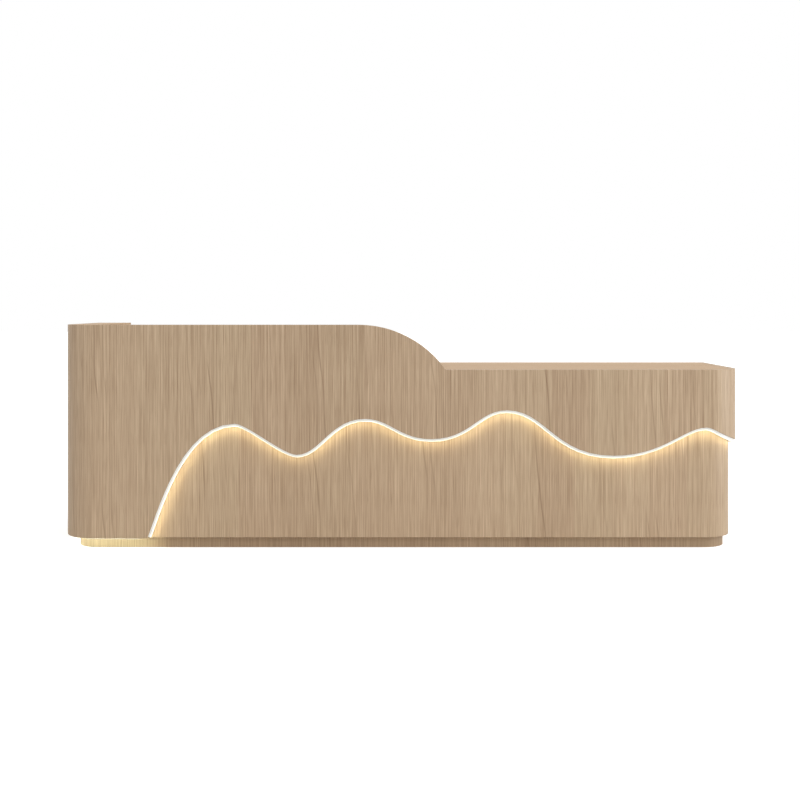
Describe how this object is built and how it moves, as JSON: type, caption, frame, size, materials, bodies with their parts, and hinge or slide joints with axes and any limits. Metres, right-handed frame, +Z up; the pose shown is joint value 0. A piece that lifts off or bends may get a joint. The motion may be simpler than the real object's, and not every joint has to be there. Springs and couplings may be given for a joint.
{
  "type": "reception desk",
  "caption": "Long reception desk: a tall screened end drops in a round shoulder to a low counter, with a lit wave-cut veneered front and drawers, doors and tray behind.",
  "frame": {"origin": "bottom centre of the whole desk, on the floor", "axes": "+X along the desk to the visitors' right, +Y from the visitors' side to the staff side, +Z up"},
  "size_m": [3.05, 0.64, 1],
  "materials": {
    "oak_veneer": "satin lacquered oak veneer, grain upright",
    "oak_top": "satin lacquered oak veneer, grain along the desk",
    "plinth_board": "satin lacquered oak veneer, grain upright",
    "carcass_board": "matt pale laminate",
    "aluminium": "satin anodised",
    "lamp_tape": "matt white",
    "opal_cover": "opal, lit from inside",
    "steel": "zinc plated",
    "dark_plastic": "satin moulded"
  },
  "bodies": {
    "desk": {"wave_fascia": "oak_veneer", "left_corner_skin": "oak_veneer", "right_corner_skin": "oak_veneer", "front_panel": "oak_veneer", "front_panel_right_end": "oak_veneer", "worktop": "oak_top", "cable_grommet": "dark_plastic", "end_wall_bottom": "carcass_board", "end_wall_top_cap": "oak_top", "end_wall_inner_panel": "oak_veneer", "end_wall_back_panel": "oak_veneer", "plinth_skirt": "plinth_board", "plinth_rear_skirt": "plinth_board", "end_plinth_rail": "plinth_board", "base_board": "carcass_board", "gable_left": "carcass_board", "gable_middle": "carcass_board", "gable_right": "carcass_board", "cabinet_shelf": "carcass_board", "open_bay_shelf": "carcass_board", "led_channel_wave": "aluminium", "led_tape_wave": "lamp_tape", "led_diffuser_wave": "opal_cover", "led_channel_base": "aluminium", "led_diffuser_base": "opal_cover", "led_driver": "aluminium", "bottom_drawer_rail_left": "steel", "bottom_drawer_rail_right": "steel", "middle_drawer_rail_left": "steel", "middle_drawer_rail_right": "steel", "top_drawer_rail_left": "steel", "top_drawer_rail_right": "steel", "keyboard_hanger_left": "aluminium", "keyboard_hanger_right": "aluminium", "left_hinge_frame_leaf": "steel", "left_hinge_pin": "steel", "right_hinge_frame_leaf": "steel", "right_hinge_pin": "steel"},
    "bottom_drawer": {"bottom_drawer_front": "oak_veneer", "bottom_drawer_side_left": "steel", "bottom_drawer_side_right": "steel", "bottom_drawer_bottom": "carcass_board", "bottom_drawer_back": "carcass_board"},
    "middle_drawer": {"middle_drawer_front": "oak_veneer", "middle_drawer_side_left": "steel", "middle_drawer_side_right": "steel", "middle_drawer_bottom": "carcass_board", "middle_drawer_back": "carcass_board"},
    "top_drawer": {"top_drawer_front": "oak_veneer", "top_drawer_side_left": "steel", "top_drawer_side_right": "steel", "top_drawer_bottom": "carcass_board", "top_drawer_back": "carcass_board"},
    "tray": {"keyboard_tray": "oak_veneer", "keyboard_slide_left": "steel", "keyboard_slide_right": "steel"},
    "door_left": {"left_door": "oak_veneer", "left_hinge_door_leaf": "steel"},
    "door_right": {"right_door": "oak_veneer", "right_hinge_door_leaf": "steel"}
  },
  "joints": [
    {"name": "bottom_drawer_slide", "type": "slide", "parent": "desk", "child": "bottom_drawer", "axis": [0, 1, 0], "range_m": [0, 0.35]},
    {"name": "middle_drawer_slide", "type": "slide", "parent": "desk", "child": "middle_drawer", "axis": [0, 1, 0], "range_m": [0, 0.35]},
    {"name": "top_drawer_slide", "type": "slide", "parent": "desk", "child": "top_drawer", "axis": [0, 1, 0], "range_m": [0, 0.35]},
    {"name": "keyboard_tray_slide", "type": "slide", "parent": "desk", "child": "tray", "axis": [0, 1, 0], "range_m": [0, 0.22]},
    {"name": "left_door_hinge", "type": "hinge", "parent": "desk", "child": "door_left", "pos_m": [0.16965, 0.3155, 0.421], "axis": [0, 0, 1], "range_deg": [0, 90]},
    {"name": "right_door_hinge", "type": "hinge", "parent": "desk", "child": "door_right", "pos_m": [1.08035, 0.3155, 0.421], "axis": [0, 0, -1], "range_deg": [0, 90]}
  ]
}
